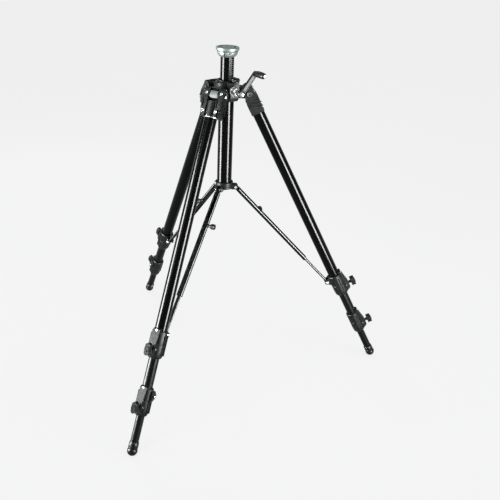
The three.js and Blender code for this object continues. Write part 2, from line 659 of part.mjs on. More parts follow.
for (const [side, azimuth] of Object.entries(LEG_AZIMUTHS)) {
  const spoke = turnedGroup(tripod, azimuth);

  const leg = new THREE.Group();
  leg.position.set(HINGE_RADIUS, 0, HINGE_HEIGHT);
  leg.rotation.y = -radians(LEG_ANGLE);
  spoke.add(leg);
  const upperKnobPlace = [CLAMP_REACH.upper + GAP, 0, -(UPPER_CLAMP.top + CLAMP_KNOB_DROP)];
  const lowerKnobPlace = [CLAMP_REACH.lower + GAP, 0, -(LOWER_CLAMP.top + CLAMP_KNOB_DROP)];
  add(leg, `leg_fork_${side}`, legFork(), FINISHES.casting);
  add(leg, `hinge_bolt_${side}`, hingeBolt(), FINISHES.steel);
  add(leg, `upper_tube_${side}`,
    legTube(TUBE_RADII.upper, UPPER_TUBE_TOP, UPPER_CLAMP.top + CLAMP_SEAT - GAP), FINISHES.blackTube);
  add(leg, `upper_clamp_${side}`, upperClamp(), FINISHES.casting);
  add(leg, `upper_knob_${side}`, wingKnob(30, 12.8, KNOB_STEM).translate(upperKnobPlace), FINISHES.plastic);
  add(leg, `brace_pin_${side}`, bracePin(), FINISHES.steel);
  add(leg, `middle_tube_${side}`,
    legTube(TUBE_RADII.middle, MIDDLE_TUBE_TOP, LOWER_CLAMP.top + CLAMP_SEAT - GAP), FINISHES.greyTube);
  add(leg, `lower_clamp_${side}`, lowerClamp(), FINISHES.casting);
  add(leg, `lower_knob_${side}`, wingKnob(28, 12.8, KNOB_STEM).translate(lowerKnobPlace), FINISHES.plastic);
  add(leg, `lower_tube_${side}`,
    legTube(TUBE_RADII.lower, LOWER_TUBE_TOP, LEG_LENGTH - 8 - GAP), FINISHES.greyTube);
  add(leg, `foot_${side}`, foot(), FINISHES.rubber);

  const brace = new THREE.Group();
  brace.position.set(BRACE.hubRadius, 0, BRACE.hubHeight);
  brace.rotation.y = braceEnd.dip;
  spoke.add(brace);
  add(brace, `brace_channel_${side}`, braceChannel(), FINISHES.casting);
  add(brace, `brace_rod_${side}`, braceRod(), FINISHES.greyTube);
  add(brace, `brace_knob_${side}`, braceKnob(), FINISHES.plastic);
}

export default tripod;
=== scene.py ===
"""Looks of a studio tripod with a geared centre column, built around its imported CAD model.

Shapes are written in millimetres in the local frame of their sub-assembly (leg, brace, drive, column),
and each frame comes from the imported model's joints and nodes.
"""

import json
import math

import bmesh
import bpy
from mathutils import Matrix, Vector


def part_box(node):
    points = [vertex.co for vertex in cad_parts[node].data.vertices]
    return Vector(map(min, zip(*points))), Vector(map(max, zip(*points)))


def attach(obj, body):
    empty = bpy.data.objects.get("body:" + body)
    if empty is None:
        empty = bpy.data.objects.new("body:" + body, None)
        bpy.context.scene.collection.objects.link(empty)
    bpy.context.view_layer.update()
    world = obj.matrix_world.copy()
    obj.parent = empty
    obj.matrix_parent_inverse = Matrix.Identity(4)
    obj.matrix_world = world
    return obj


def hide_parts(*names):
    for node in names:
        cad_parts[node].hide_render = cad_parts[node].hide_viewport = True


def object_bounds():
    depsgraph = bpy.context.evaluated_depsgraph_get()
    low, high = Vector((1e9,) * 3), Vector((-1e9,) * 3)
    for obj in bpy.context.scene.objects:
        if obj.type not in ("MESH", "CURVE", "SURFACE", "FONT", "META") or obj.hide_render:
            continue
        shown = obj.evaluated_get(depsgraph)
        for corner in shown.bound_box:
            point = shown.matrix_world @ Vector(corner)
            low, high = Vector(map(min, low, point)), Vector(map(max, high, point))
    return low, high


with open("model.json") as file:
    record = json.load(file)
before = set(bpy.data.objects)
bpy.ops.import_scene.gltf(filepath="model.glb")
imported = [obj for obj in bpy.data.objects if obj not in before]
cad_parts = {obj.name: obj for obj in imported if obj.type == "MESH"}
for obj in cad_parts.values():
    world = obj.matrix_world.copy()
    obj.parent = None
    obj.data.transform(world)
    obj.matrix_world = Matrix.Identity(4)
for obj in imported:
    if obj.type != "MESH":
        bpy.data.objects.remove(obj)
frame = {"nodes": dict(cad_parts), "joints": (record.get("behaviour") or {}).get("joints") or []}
CAD_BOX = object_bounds()

MM = 0.001
SIDES = ("right", "rear", "front")
JOINTS = {joint["name"]: joint for joint in frame["joints"]}
MATERIALS = {}

# Sizes of the CAD model that its boxes and joints don't give, in millimetres
CLEARANCE = 0.3
TUBE_RADIUS = {"upper": 15, "middle": 12.5, "lower": 10}
CLAMPED_TUBES = {"upper": ("upper", "middle"), "lower": ("middle", "lower")}
TUBE_WALL = 1.6
GUIDE_WALL = 2
COLUMN_WALL = 5
HINGE_RADIUS = 4
HINGE_LUG_HALF = 12
PIN_RADIUS = 2.5
CLAMP_WALL = 4.2
CLAMP_EAR = 5
CLAMP_SEAT = 46
KNOB_HOLE = 3.3
SHAFT_RADIUS = 4
GRIP_PIN_RADIUS = 2.6
PLATE_SOCKET_DEPTH = 8.4
HUB_RADIUS = 22.5
BODY_RADIUS = 27.0
GEAR_MODULE = 1.5


# ---- local frames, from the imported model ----

def basis(origin, x_axis, z_axis):
    """A frame with the given origin and axes; z_axis is kept and x_axis is squared to it."""
    z = Vector(z_axis).normalized()
    x = Vector(x_axis)
    x = (x - x.dot(z) * z).normalized()
    turn = Matrix((x, z.cross(x), z)).transposed().to_4x4()
    return Matrix.Translation(Vector(origin)) @ turn


def joint_point(name):
    return Vector(JOINTS[name]["pos_m"])


def joint_axis(name):
    return Vector(JOINTS[name]["axis"])


def leg_place(side):
    """Origin on the leg hinge, X outward, Y along the hinge, Z up the leg."""
    up = -joint_axis(f"middle_slide_{side}")
    return basis(joint_point(f"leg_fold_{side}"), joint_axis(f"leg_fold_{side}").cross(up), up)


def brace_place(side):
    """Origin on the hub pivot, X along the brace arm, Y along the pivot."""
    start = joint_point(f"brace_channel_fold_{side}")
    along = joint_point(f"brace_rod_fold_{side}") - start
    return basis(start, along, along.cross(joint_axis(f"brace_channel_fold_{side}")))


def column_place():
    """On the column's axis at floor level, with X towards the drive."""
    low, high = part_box("column")
    return basis(((low.x + high.x) / 2, (low.y + high.y) / 2, 0), joint_axis("crank_turn"), (0, 0, 1))


def drive_place():
    """On the crank's axis beside the column, with X out along the crank's axis."""
    axis = joint_axis("crank_turn")
    point = joint_point("crank_turn")
    reach = (point - COLUMN.translation).dot(axis)
    return basis(point - reach * axis, axis, (0, 0, 1))


def crank_place():
    """On the crank's axis, with Z along the crank arm."""
    arm = joint_point("grip_spin") - DRIVE.translation
    axis = joint_axis("crank_turn")
    return basis(DRIVE.translation, axis, arm - arm.dot(axis) * axis)


def local_box(node, place):
    """Lowest and highest corner of a CAD node in a local frame, in millimetres."""
    inverse = place.inverted()
    points = [inverse @ vertex.co for vertex in frame["nodes"][node].data.vertices]
    low = Vector([min(point[i] for point in points) for i in range(3)]) / MM
    high = Vector([max(point[i] for point in points) for i in range(3)]) / MM
    return low, high


def local_point(joint, place):
    """A joint's centre in a local frame, in millimetres."""
    return (place.inverted() @ joint_point(joint)) / MM


def bearing(point):
    """Direction in degrees and distance of a point, seen from the column's axis."""
    return math.degrees(math.atan2(point.y, point.x)), math.hypot(point.x, point.y)


COLUMN = column_place()
DRIVE = drive_place()
CRANK = crank_place()


# ---- materials ----

def link_noise(nodes, links, coords, scale, stretch, detail=4.0):
    mapping = nodes.new("ShaderNodeMapping")
    mapping.inputs["Scale"].default_value = stretch
    noise = nodes.new("ShaderNodeTexNoise")
    noise.inputs["Scale"].default_value = scale
    noise.inputs["Detail"].default_value = detail
    links.new(coords, mapping.inputs["Vector"])
    links.new(mapping.outputs["Vector"], noise.inputs["Vector"])
    return noise.outputs["Fac"]


def ranged(nodes, links, value, from_range, to_range):
    remap = nodes.new("ShaderNodeMapRange")
    remap.inputs["From Min"].default_value, remap.inputs["From Max"].default_value = from_range
    remap.inputs["To Min"].default_value, remap.inputs["To Max"].default_value = to_range
    links.new(value, remap.inputs["Value"])
    return remap.outputs["Result"]


def mixed(nodes, links, factor, first, second):
    """A colour between first and second; either may be a socket or a plain colour."""
    mix = nodes.new("ShaderNodeMix")
    mix.data_type = "RGBA"
    links.new(factor, mix.inputs["Factor"])
    for colour, socket in ((first, mix.inputs["A"]), (second, mix.inputs["B"])):
        if isinstance(colour, bpy.types.NodeSocket):
            links.new(colour, socket)
        else:
            socket.default_value = (*colour, 1.0)
    return mix.outputs["Result"]


def finish(name, colours, roughness, metallic=0.0, spots=60.0, grain=900.0, stretch=(1, 1, 1),
           bump=0.1, depth=0.0002, specular=0.5, worn=None):
    """A procedural finish: cloudy colour, uneven roughness, a fine grain and, if asked, rubbed specks."""
    made = bpy.data.materials.new(name)
    made.use_nodes = True
    nodes, links = made.node_tree.nodes, made.node_tree.links
    shader = nodes["Principled BSDF"]
    coords = nodes.new("ShaderNodeTexCoord").outputs["Object"]
    clouds = link_noise(nodes, links, coords, spots, (1, 1, 1))
    fine = link_noise(nodes, links, coords, grain, stretch, 6.0)
    colour = mixed(nodes, links, ranged(nodes, links, clouds, (0.3, 0.7), (0, 1)), *colours)
    if worn:
        specks = link_noise(nodes, links, coords, 520.0, (1, 1, 1), 8.0)
        colour = mixed(nodes, links, ranged(nodes, links, specks, (0.64, 0.72), (0, 1)), colour, worn)
    links.new(colour, shader.inputs["Base Color"])
    patchy = link_noise(nodes, links, coords, spots * 2.3, stretch)
    links.new(ranged(nodes, links, patchy, (0.25, 0.75), roughness), shader.inputs["Roughness"])
    relief = nodes.new("ShaderNodeBump")
    relief.inputs["Strength"].default_value = bump
    relief.inputs["Distance"].default_value = depth
    links.new(fine, relief.inputs["Height"])
    links.new(relief.outputs["Normal"], shader.inputs["Normal"])
    shader.inputs["Metallic"].default_value = metallic
    shader.inputs["Specular IOR Level"].default_value = specular
    MATERIALS[name] = made


def make_materials():
    lengthwise = (1, 1, 0.02)
    finish("black_tube", ((0.001, 0.0014, 0.0014), (0.0022, 0.003, 0.003)), (0.13, 0.18),
           grain=2600, stretch=lengthwise, bump=0.008, depth=0.00002, specular=0.06)
    finish("grey_tube", ((0.0022, 0.0034, 0.0033), (0.005, 0.007, 0.0068)), (0.27, 0.36),
           grain=2200, stretch=lengthwise, bump=0.04, depth=0.00004, specular=0.065)
    finish("casting", ((0.0022, 0.0034, 0.0033), (0.0065, 0.0092, 0.009)), (0.36, 0.5),
           spots=45, grain=750, bump=0.25, depth=0.0002, specular=0.1, worn=(0.03, 0.038, 0.036))
    finish("black_paint", ((0.0012, 0.0016, 0.0016), (0.003, 0.004, 0.004)), (0.35, 0.5),
           grain=1600, bump=0.12, depth=0.0001, specular=0.02)
    finish("silver", ((0.15, 0.19, 0.18), (0.25, 0.3, 0.285)), (0.4, 0.52), metallic=0.12,
           spots=90, grain=1400, bump=0.18, depth=0.0001, specular=0.2)
    finish("rack_steel", ((0.09, 0.1, 0.1), (0.18, 0.195, 0.195)), (0.42, 0.55), metallic=0.08,
           spots=120, grain=1800, bump=0.2, depth=0.0001, specular=0.1)
    finish("steel", ((0.42, 0.44, 0.45), (0.64, 0.66, 0.66)), (0.18, 0.3), metallic=1.0,
           spots=150, grain=2400, bump=0.08, depth=0.00005)
    finish("dark_steel", ((0.06, 0.066, 0.066), (0.12, 0.13, 0.13)), (0.25, 0.38), metallic=0.6,
           spots=150, grain=2400, bump=0.1, depth=0.00006, specular=0.2)
    finish("brass", ((0.42, 0.30, 0.12), (0.60, 0.46, 0.20)), (0.25, 0.4), metallic=1.0,
           grain=1600, bump=0.12, depth=0.00008)
    finish("plastic", ((0.002, 0.003, 0.003), (0.0052, 0.0066, 0.0066)), (0.28, 0.42),
           grain=1500, bump=0.22, depth=0.00012, specular=0.11)
    finish("rubber", ((0.0016, 0.0016, 0.0016), (0.0045, 0.0045, 0.0045)), (0.3, 0.45),
           grain=1300, bump=0.2, depth=0.00015, specular=0.09)
    finish("plate_grey", ((0.19, 0.22, 0.22), (0.26, 0.295, 0.295)), (0.5, 0.62), metallic=0.05,
           spots=110, grain=1500, stretch=(1, 0.05, 1), bump=0.12, depth=0.00006, specular=0.08)
    # painted highlight: a light grey finish for thin strips that stand in for the white reflection along
    # the brace edges
    finish("painted_highlight_line", ((0.5, 0.53, 0.53), (0.68, 0.71, 0.71)), (0.4, 0.5), metallic=0.05,
           spots=140, grain=1800, bump=0.08, depth=0.00005, specular=0.12)


# ---- shapes, in millimetres ----

def arc(centre, radius, start, end, steps=8):
    """Points on a round stretch from start to end, in degrees."""
    turns = [math.radians(start + (end - start) * i / steps) for i in range(steps + 1)]
    return [(centre[0] + radius * math.cos(a), centre[1] + radius * math.sin(a)) for a in turns]


def rounded(low, high, radius, steps=5):
    """A rounded rectangle between two corners."""
    (x0, y0), (x1, y1) = low, high
    return (arc((x1 - radius, y0 + radius), radius, -90, 0, steps)
            + arc((x1 - radius, y1 - radius), radius, 0, 90, steps)
            + arc((x0 + radius, y1 - radius), radius, 90, 180, steps)
            + arc((x0 + radius, y0 + radius), radius, 180, 270, steps))


def lathe(profile, segments=64, closed=False):
    """A turned solid about Z from (radius, z) points; a closed profile makes a hollow one."""
    mesh = bmesh.new()
    turns = [2 * math.pi * i / segments for i in range(segments)]
    rings = []
    for radius, z in profile:
        if radius < 1e-6:
            rings.append([mesh.verts.new((0, 0, z))])
        else:
            rings.append([mesh.verts.new((radius * math.cos(a), radius * math.sin(a), z)) for a in turns])
    pairs = list(zip(rings, rings[1:]))
    if closed:
        pairs.append((rings[-1], rings[0]))
    for lower, upper in pairs:
        for i in range(segments):
            j = (i + 1) % segments
            corners = [lower[i % len(lower)], lower[j % len(lower)],
                       upper[j % len(upper)], upper[i % len(upper)]]
            face = list(dict.fromkeys(corners))
            if len(face) > 2:
                mesh.faces.new(face)
    bmesh.ops.recalc_face_normals(mesh, faces=mesh.faces)
    return mesh


def prism(outline, low, high):
    """A straight solid with an outline in XY."""
    mesh = bmesh.new()
    bottom = [mesh.verts.new((x, y, low)) for x, y in outline]
    top = [mesh.verts.new((x, y, high)) for x, y in outline]
    mesh.faces.new(list(reversed(bottom)))
    mesh.faces.new(top)
    for i in range(len(outline)):
        j = (i + 1) % len(outline)
        mesh.faces.new((bottom[i], bottom[j], top[j], top[i]))
    bmesh.ops.recalc_face_normals(mesh, faces=mesh.faces)
    return mesh


def block(low, high):
    return prism(((low[0], low[1]), (high[0], low[1]), (high[0], high[1]), (low[0], high[1])),
                 low[2], high[2])


def rod(radius, low, high, segments=32):
    return lathe(((0, low), (radius, low), (radius, high), (0, high)), segments)


def turned(mesh, axis="Z", degrees=0.0, shift=(0, 0, 0)):
    """Turns a shape about an axis, then shifts it."""
    mesh.transform(Matrix.Translation(Vector(shift)) @ Matrix.Rotation(math.radians(degrees), 4, axis))
    return mesh


def shifted(mesh, shift):
    return turned(mesh, shift=shift)


def along_x(mesh, shift=(0, 0, 0)):
    return turned(mesh, "Y", 90, shift)


def along_y(mesh, shift=(0, 0, 0)):
    """Lays a shape made along Z along Y; its own Y goes to -Z."""
    return turned(mesh, "X", -90, shift)


def upright(mesh, shift=(0, 0, 0)):
    """Stands an outline in XY up in XZ; its thickness runs along -Y."""
    return turned(mesh, "X", 90, shift)


def beside(sign, near, far):
    """The span between two distances from the middle, on the side that the sign gives."""
    return sorted((sign * near, sign * far))


def hinge_hole(x=0.0, z=0.0):
    """Room for a leg's hinge bolt, along Y."""
    return along_y(rod(HINGE_RADIUS + CLEARANCE, -40, 40, 28), (x, 0, z))


def pin_hole(x=0.0, z=0.0):
    """Room for a brace pin, along Y."""
    return along_y(rod(PIN_RADIUS + CLEARANCE, -20, 20, 20), (x, 0, z))


def temporary(mesh):
    data = bpy.data.meshes.new("temporary")
    mesh.to_mesh(data)
    mesh.free()
    made = bpy.data.objects.new("temporary", data)
    bpy.context.scene.collection.objects.link(made)
    return made


def carved(base, joined=(), removed=()):
    """One closed shape: base with the joined shapes added and the removed ones cut away."""
    body = temporary(base)
    tools = []
    for operation, shapes in (("UNION", joined), ("DIFFERENCE", removed)):
        for shape in shapes:
            tool = temporary(shape)
            modifier = body.modifiers.new(operation.lower(), "BOOLEAN")
            modifier.operation = operation
            modifier.solver = "EXACT"
            modifier.object = tool
            tools.append(tool)
    evaluated = body.evaluated_get(bpy.context.evaluated_depsgraph_get())
    result = bmesh.new()
    result.from_mesh(evaluated.to_mesh())
    evaluated.to_mesh_clear()
    for spare in (body, *tools):
        data = spare.data
        bpy.data.objects.remove(spare)
        bpy.data.meshes.remove(data)
    bmesh.ops.remove_doubles(result, verts=result.verts, dist=0.005)
    bmesh.ops.dissolve_degenerate(result, edges=result.edges, dist=0.005)
    return result


def piece(name, mesh, place, body, look, bevel=0.0, stands_for=()):
    """Makes a finished piece from a shape in millimetres, and rides it on its CAD body."""
    data = bpy.data.meshes.new(name)
    mesh.to_mesh(data)
    mesh.free()
    data.transform(Matrix.Scale(MM, 4))
    data.polygons.foreach_set("use_smooth", [True] * len(data.polygons))
    data.set_sharp_from_angle(angle=math.radians(32))
    data.materials.append(MATERIALS[look])
    made = bpy.data.objects.new(name, data)
    bpy.context.scene.collection.objects.link(made)
    made.matrix_world = place
    if bevel:
        rounding = made.modifiers.new("rounding", "BEVEL")
        rounding.width = bevel * MM
        rounding.segments = 2
        rounding.limit_method = "ANGLE"
        rounding.angle_limit = math.radians(32)
        rounding.harden_normals = True
    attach(made, body)
    if stands_for:
        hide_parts(*stands_for)
    return made


def hollow(outer, inner, bottom, top, chamfer=0.4, segments=96):
    """A round tube with small chamfers at its ends."""
    return lathe(((inner, bottom + chamfer), (inner + chamfer, bottom), (outer - chamfer, bottom),
                  (outer, bottom + chamfer), (outer, top - chamfer), (outer - chamfer, top),
                  (inner + chamfer, top), (inner, top - chamfer)), segments, closed=True)


def socket_screw(radius, height, segments=28):
    """A cap screw's head along Z from 0 to its height, with a hexagon socket."""
    head = lathe(((0, 0), (radius, 0), (radius, height - 0.6), (radius - 0.6, height), (0, height)),
                 segments)
    return carved(head, removed=[rod(radius * 0.52, height * 0.4, height + 1, 6)])


def lobed(inner, outer, lobes, sharpness, steps=72):
    """A closed outline that swells from inner to outer radius at each lobe."""
    points = []
    for i in range(steps):
        angle = 2 * math.pi * i / steps
        swell = abs(math.cos(lobes * angle / 2)) ** sharpness
        radius = inner + (outer - inner) * swell
        points.append((radius * math.cos(angle), radius * math.sin(angle)))
    return points


def wing_knob(span, stem, height, stud):
    """A wing knob along X: a stud, a round stem, then two thick wings spread along Z."""
    wings = along_x(prism(lobed(6.2, span / 2, 2, 3), stem, height))
    hub = along_x(lathe(((0, 0), (4.2, 0), (3.8, stem * 0.4), (4.3, stem * 0.8), (7, stem + 0.6),
                         (7, height + 0.4), (5.6, height + 1.5), (0, height + 1.5)), 40))
    dish = along_x(lathe(((0, height + 1), (3.6, height + 1), (4.2, height + 3), (0, height + 3)), 32))
    notches = [block((stem + 4, -1.1, sign * (span / 2 - 3.4) - 0.6),
                     (height + 5, 1.1, sign * (span / 2 - 3.4) + 0.6)) for sign in (-1, 1)]
    return carved(wings, joined=[hub, along_x(rod(2.9, -stud, 1, 24))], removed=[dish, *notches])


# ---- leg pieces ----

def tubes(side, place):
    """The three tubes of a leg; each lower one slides in the one above."""
    for part, body, look in (("upper", f"leg_{side}", "black_tube"),
                             ("middle", f"leg_middle_{side}", "grey_tube"),
                             ("lower", f"leg_lower_{side}", "grey_tube")):
        node = f"{part}_tube_{side}"
        low, high = local_box(node, place)
        outer = (high.x - low.x) / 2
        shell = hollow(outer, outer - TUBE_WALL, low.z, high.z)
        piece(f"{node}_shell", shell, place, body, look, stands_for=[node])


def fork_blank(half, reach, top, bottom):
    """The fork seen from the side, open between its cheeks and hollow at its front."""
    side_view = [(-reach, bottom), (reach, bottom), (reach, -18), (13, 4)]
    side_view += arc((6, top - 7), 7, 0, 90, 6) + [(-4, top), (-11, 9), (-13, -4), (-reach, -24)]
    gap = HINGE_LUG_HALF + CLEARANCE
    slot = block((-40, -gap, -15), (40, gap, 60))
    trough = block((reach - 3.6, -11.6, bottom - 2), (reach + 10, 11.6, -10))
    return carved(upright(prism(side_view, -half, half)), removed=[slot, trough])


def fork_relief(half, reach, bottom):
    """What is cut from the fork's cheeks, and the slanting ribs that stand in their hollows."""
    pockets, ribs = [], []
    for sign in (-1, 1):
        inner, outer = beside(sign, half - 2.2, half + 5)
        recess = [(-reach + 3.2, bottom + 7), (reach - 3.2, bottom + 7), (reach - 3.2, -13),
                  (-reach + 4.5, -24)]
        pockets.append(upright(prism(recess, -outer, -inner)))
        inner, outer = beside(sign, half - 2.6, half - 0.2)
        for k in range(3):
            rib = block((-reach + 1.5, inner, -1.1), (reach - 1.5, outer, 1.1))
            ribs.append(turned(rib, "Y", 24, (0, 0, bottom + 19 + 8.5 * k)))
        inner, outer = beside(sign, half - 4, half + 5)
        pockets.append(block((-40, inner, bottom - 1), (40, outer, -42)))
        inner, outer = beside(sign, 13.6, half - 2.8)
        pockets.append(block((reach - 1.8, inner, bottom + 22), (reach + 5, outer, 0)))
        inner, outer = beside(sign, half - 6.5, half + 5)
        pockets.append(block((reach - 4.5, inner, bottom - 1), (reach + 5, outer, bottom + 17)))
    return pockets, ribs


def leg_fork(side, place):
    """The fork that holds the upper tube and straddles the body's lug, with its screws."""
    node, body = f"leg_fork_{side}", f"leg_{side}"
    low, high = local_box(node, place)
    half, reach, top, bottom = high.y, high.x, high.z, low.z
    tube_room = TUBE_RADIUS["upper"] + CLEARANCE
    gap = HINGE_LUG_HALF + CLEARANCE
    roof = block((4, -gap - 2, top - 2.6), (10, gap + 2, top - 0.3))
    socket_skin = rod(reach + 0.4, bottom, -17, 64)
    bore = rod(tube_room, bottom - 5, -29.7, 64)
    slit = block((-40, -1.2, bottom - 5), (-5, 1.2, -36))
    pockets, ribs = fork_relief(half, reach, bottom)
    shape = carved(fork_blank(half, reach, top, bottom), joined=[roof, socket_skin],
                   removed=[bore, slit, hinge_hole(), *pockets])
    piece(f"{node}_casting", carved(shape, joined=ribs), place, body, "casting", bevel=0.7,
          stands_for=[node])
    ring = hollow(reach + 0.5, tube_room, bottom - 1.4, bottom + 0.9, 0.3)
    piece(f"fork_ring_{side}", ring, place, body, "steel")
    face = arc((0, 0), 13.9, -36, 36, 16) + arc((0, 0), 13.4, 36, -36, 16)
    piece(f"hinge_face_{side}", upright(prism(face, -9.3, 9.3)), place, "chassis", "plate_grey")
    for k, sign in enumerate((-1, 1)):
        screw = along_x(socket_screw(3.4, 3), (reach - 1, sign * 16, bottom + 12))
        piece(f"fork_screw_{side}_{k}", screw, place, body, "steel")
        cap = along_x(socket_screw(3.2, 2.4), (12.2, sign * 19, 2))
        piece(f"fork_cap_{side}_{k}", cap, place, body, "steel")


def hinge_bolt(side, place):
    """The bolt through the fork and the lug, with a hexagon socket at both ends."""
    node = f"hinge_bolt_{side}"
    low, high = local_box(node, place)
    seat = local_box(f"leg_fork_{side}", place)[1].y + CLEARANCE
    bolt = lathe(((0, low.y + 0.6), (5.4, low.y), (6.4, low.y + 0.8), (6.4, -seat), (HINGE_RADIUS, -seat),
                  (HINGE_RADIUS, seat), (6.4, seat), (6.4, high.y - 0.8), (5.4, high.y), (0, high.y)), 40)
    sockets = [rod(3.7, high.y - 2.4, high.y + 2, 6), rod(3.7, low.y - 2, low.y + 2.4, 6)]
    shape = along_y(carved(bolt, removed=sockets))
    piece(f"{node}_turned", shape, place, f"leg_{side}", "dark_steel",
          stands_for=[node])


def clamp_sleeve(wide, narrow, bottom, seat, top):
    """The clamp's round sleeve: a wide bore down to the seat, and a narrow one below it."""
    outer = wide + CLAMP_WALL
    return lathe(((narrow + CLEARANCE, bottom + 0.6), (narrow + 0.9, bottom), (narrow + 3.2, bottom),
                  (narrow + 4, bottom + 0.8), (outer - 1, bottom + 5), (outer, seat - 4),
                  (outer, seat + 14), (outer - 0.7, seat + 15), (outer - 0.7, seat + 17),
                  (outer, seat + 18), (outer, top - 2), (outer - 1.5, top), (wide + 0.8, top),
                  (wide + CLEARANCE, top - 0.6), (wide + CLEARANCE, seat),
                  (narrow + CLEARANCE, seat - 0.8)), 72, closed=True)


def clamp_spine(wide, narrow, low, high, knob_z):
    """The outward rib that holds the wing knob and ends in an ear, and its hollows."""
    reach, top = high.x, high.z - CLAMP_EAR
    flank = [(0, low.z + 3), (narrow + 2, low.z + 3)]
    flank += arc((reach - 7, knob_z - 8), 7, -60, 0, 6) + arc((reach - 7, knob_z + 5), 7, 0, 20, 3)
    flank += arc((wide + 1.6, high.z - 3.4), 3.4, 20, 90, 5) + [(0, high.z)]
    inset = [(wide + 1.4, knob_z + 13), (reach - 4.4, knob_z + 13), (wide + 4.4, top - 8),
             (wide + 1.4, top - 8)]
    lower = [(narrow + 4, low.z + 7), (reach - 8, knob_z - 11), (narrow + 4, knob_z - 5)]
    hollows = []
    for sign in (-1, 1):
        inner, skin = beside(sign, 7.9, 20)
        hollows.append(upright(prism(inset, -skin, -inner)))
        hollows.append(upright(prism(lower, -skin, -inner)))
    return upright(prism(flank, -9, 9)), hollows


def clamp_ribs(outer, bottom, top):
    """Three lengthwise ribs on each side of the sleeve."""
    ribs = []
    for sign in (-1, 1):
        inner, skin = beside(sign, outer - 3, outer + 0.7)
        for x in (-6.5, 0, 6.5):
            ribs.append(block((x - 1.1, inner, bottom + 7), (x + 1.1, skin, top - 9)))
    return ribs


def brace_ears(outer, pivot):
    """The two inward ears that hold the brace rod's pin."""
    ears = []
    for sign in (-1, 1):
        inner, skin = beside(sign, 4.8, 9.5)
        ear = [(-outer + 5, pivot.z - 17), (-outer + 5, pivot.z + 13), (pivot.x + 3, pivot.z + 7),
               (pivot.x - 3.6, pivot.z + 6), (pivot.x - 7, pivot.z), (pivot.x - 5, pivot.z - 5),
               (pivot.x + 1, pivot.z - 7)]
        ears.append(upright(prism(ear, -skin, -inner)))
    return ears


def clamp_bulge(outer, top):
    """The lower clamp's swelling for its pinch bolt, on the leg's +Y side."""
    bulge = [(0, top - 2), (outer + 4, top - 5), (outer + 8, top - 13), (outer + 7.5, top - 19),
             (outer + 1, top - 32), (0, top - 34)]
    return turned(upright(prism(bulge, -7, 7)), "Z", 90)


def clamp(side, place, section, body):
    """A clamp on the end of one tube, which grips the tube inside it."""
    wide, narrow = [TUBE_RADIUS[tube] for tube in CLAMPED_TUBES[section]]
    node = f"{section}_clamp_{side}"
    low, high = local_box(node, place)
    top = high.z - CLAMP_EAR
    seat = top - CLAMP_SEAT
    outer = wide + CLAMP_WALL
    knob_z = local_point(f"{section}_clamp_turn_{side}", place).z
    spine, hollows = clamp_spine(wide, narrow, low, high, knob_z)
    added = clamp_ribs(outer, low.z, top)
    if section == "upper":
        pivot = local_point(f"brace_rod_fold_{side}", place)
        added += brace_ears(outer, pivot)
        hollows.append(pin_hole(pivot.x, pivot.z))
    else:
        added.append(clamp_bulge(outer, top))
    wide_bore = rod(wide + CLEARANCE, seat, high.z + 5, 72)
    narrow_bore = rod(narrow + CLEARANCE, low.z - 5, seat + 1, 72)
    slit = block((5, -0.8, low.z - 2), (high.x + 5, 0.8, seat - 6))
    stud_hole = along_x(rod(KNOB_HOLE, wide, high.x + 4, 20), (0, 0, knob_z))
    shape = carved(clamp_sleeve(wide, narrow, low.z, seat, top), joined=[spine, *added],
                   removed=[wide_bore, narrow_bore, slit, stud_hole, *hollows])
    piece(f"{node}_casting", shape, place, body, "casting", bevel=0.6, stands_for=[node])
    ear_screw = along_x(socket_screw(3.2, 2.2), (outer, 0, high.z - 4))
    piece(f"{section}_clamp_ear_screw_{side}", ear_screw, place, body, "steel")
    for k, sign in enumerate((-1, 1)):
        screw = turned(socket_screw(2.8, 2.2), "X", -90 * sign, (narrow + 6.5, sign * 8.8, knob_z - 1))
        piece(f"{section}_clamp_side_screw_{side}_{k}", screw, place, body, "dark_steel")
    if section == "lower":
        bolt = turned(socket_screw(3.2, 2.2), "X", -90, (0, outer + 7, top - 16))
        piece(f"lower_clamp_bolt_{side}", bolt, place, body, "steel")


def clamp_knob(side, place, section):
    node = f"{section}_knob_{side}"
    low, high = local_box(node, place)
    knob_z = local_point(f"{section}_clamp_turn_{side}", place).z
    start = local_box(f"{section}_clamp_{side}", place)[1].x + CLEARANCE
    knob = wing_knob(high.z - low.z, 6, high.x - start - 1.6, start - low.x)
    piece(f"{node}_moulding", shifted(knob, (start, 0, knob_z)), place, node, "plastic", bevel=1.1,
          stands_for=[node])


def foot(side, place):
    """A rubber ball with a grooved neck that is pushed onto the lower tube."""
    node = f"foot_{side}"
    low, high = local_box(node, place)
    radius = (high.y - low.y) / 2
    centre = low.z + radius
    profile = [(0, low.z)] + arc((0, centre), radius, -90, 18, 16)[1:]
    profile += [(11.2, centre + 4.8), (11.2, centre + 6.2), (11.7, centre + 6.8), (11.7, centre + 10.6),
                (11.1, centre + 11.2), (11.1, centre + 12.4), (11.7, centre + 13), (11.7, high.z - 1),
                (11.1, high.z), (10.3, high.z), (10.3, centre + 8), (0, centre + 8)]
    piece(f"{node}_moulding", lathe(profile, 72), place, f"leg_lower_{side}", "rubber",
          stands_for=[node])
    ring = hollow(11.4, 10.3, high.z + 0.2, high.z + 1.5, 0.3)
    piece(f"foot_ring_{side}", ring, place, f"leg_lower_{side}", "dark_steel")


def brace_pin(side, place):
    node = f"brace_pin_{side}"
    low, high = local_box(node, place)
    centre = (low + high) / 2
    seat = high.y - 2
    half = [(PIN_RADIUS, seat), (4.2, seat), (4.2, high.y - 0.9), (3.2, high.y), (0, high.y)]
    profile = [(r, -z) for r, z in reversed(half)] + half
    piece(f"{node}_turned", along_y(lathe(profile, 32), (centre.x, 0, centre.z)), place,
          f"leg_{side}", "steel", stands_for=[node])


# ---- brace pieces ----

